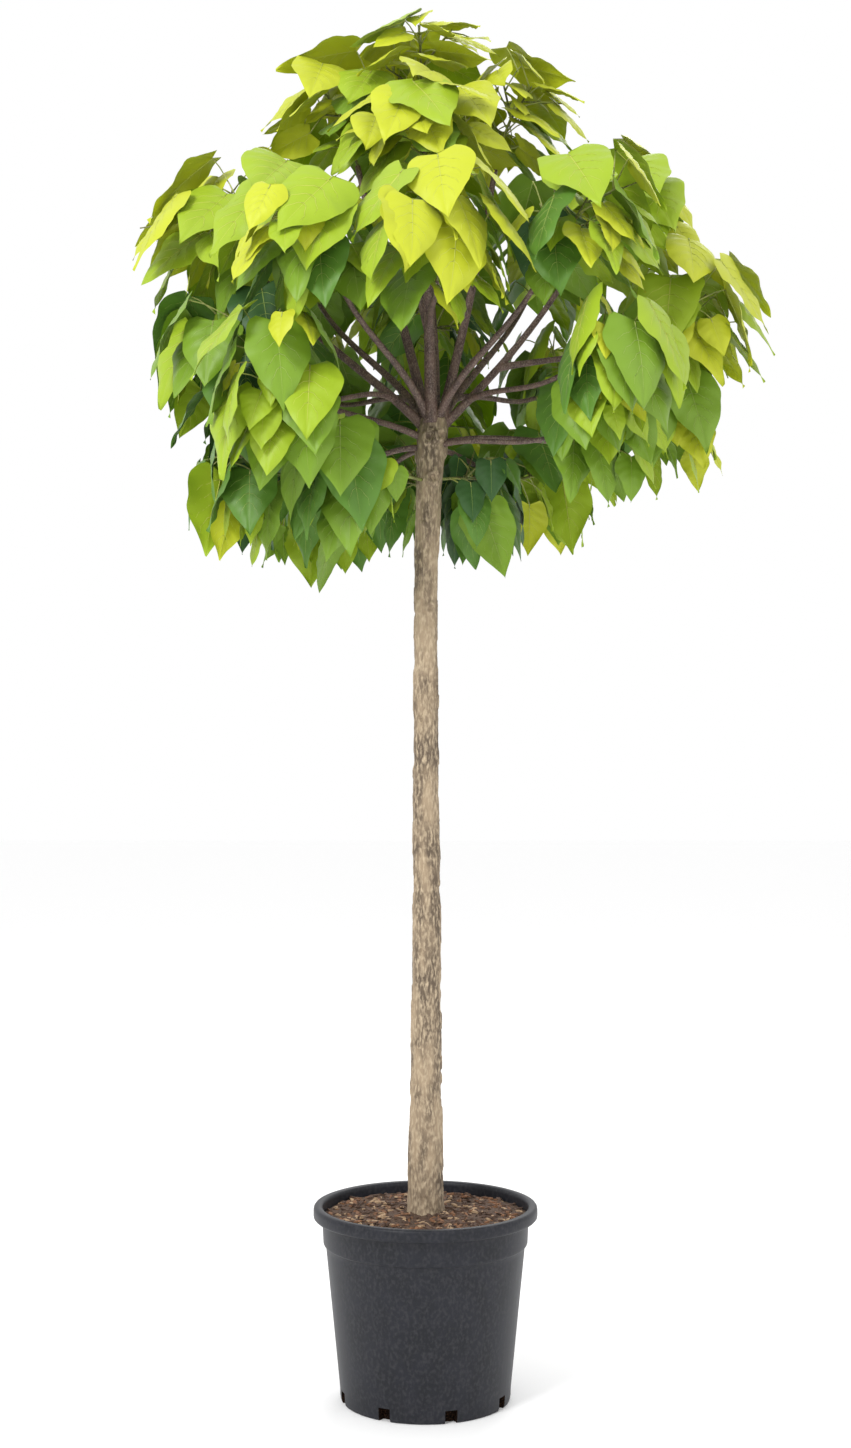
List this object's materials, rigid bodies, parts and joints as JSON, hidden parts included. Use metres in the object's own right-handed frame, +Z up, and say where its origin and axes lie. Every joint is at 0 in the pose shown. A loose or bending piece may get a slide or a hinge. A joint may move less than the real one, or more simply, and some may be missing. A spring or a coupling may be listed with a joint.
{
  "type": "catalpa tree",
  "caption": "Young golden catalpa grown as a standard: a clear stem with a round head of large heart-shaped leaves, in a plastic nursery pot.",
  "frame": {"origin": "centre of the pot's flat underside", "axes": "+Z up along the trunk, -Y to the front of the picture, +X to its right"},
  "size_m": [1.2975, 1.1321, 2.7576],
  "materials": {
    "pot": "charcoal nursery plastic, matt and dusty",
    "soil": "brown bark mulch over compost",
    "trunk": "beige flaking bark in upright plates",
    "boughs": "dark purple-brown young bark",
    "foliage": "yellow-green leaf"
  },
  "bodies": {
    "root": {"bough-crest": "boughs", "bough-inner-back": "boughs", "bough-low-right": "boughs", "bough-middle-back": "boughs", "bough-middle-left": "boughs", "bough-middle-left-back": "boughs", "bough-middle-left-front": "boughs", "bough-middle-right": "boughs", "bough-middle-right-back": "boughs", "bough-middle-right-front": "boughs", "bough-skirt-left": "boughs", "bough-skirt-left-back": "boughs", "bough-skirt-right-back": "boughs", "bough-skirt-right-front": "boughs", "bough-top-back": "boughs", "bough-top-front": "boughs", "bough-top-left": "boughs", "bough-top-right": "boughs", "bough-upper-back": "boughs", "bough-upper-front": "boughs", "bough-upper-left": "boughs", "bough-upper-left-back": "boughs", "bough-upper-left-front": "boughs", "bough-upper-right": "boughs", "bough-upper-right-back": "boughs", "bough-upper-right-front": "boughs", "leaves-crest": "foliage", "leaves-inner-back": "foliage", "leaves-low-right": "foliage", "leaves-middle-back": "foliage", "leaves-middle-left": "foliage", "leaves-middle-left-back": "foliage", "leaves-middle-left-front": "foliage", "leaves-middle-right": "foliage", "leaves-middle-right-back": "foliage", "leaves-middle-right-front": "foliage", "leaves-skirt-back": "foliage", "leaves-skirt-left": "foliage", "leaves-skirt-left-back": "foliage", "leaves-skirt-left-front": "foliage", "leaves-skirt-right": "foliage", "leaves-skirt-right-back": "foliage", "leaves-skirt-right-front": "foliage", "leaves-top-back": "foliage", "leaves-top-front": "foliage", "leaves-top-left": "foliage", "leaves-top-right": "foliage", "leaves-upper-back": "foliage", "leaves-upper-front": "foliage", "leaves-upper-left": "foliage", "leaves-upper-left-back": "foliage", "leaves-upper-left-front": "foliage", "leaves-upper-right": "foliage", "leaves-upper-right-back": "foliage", "leaves-upper-right-front": "foliage", "pot": "pot", "soil": "soil", "trunk": "trunk"}
  },
  "joints": []
}
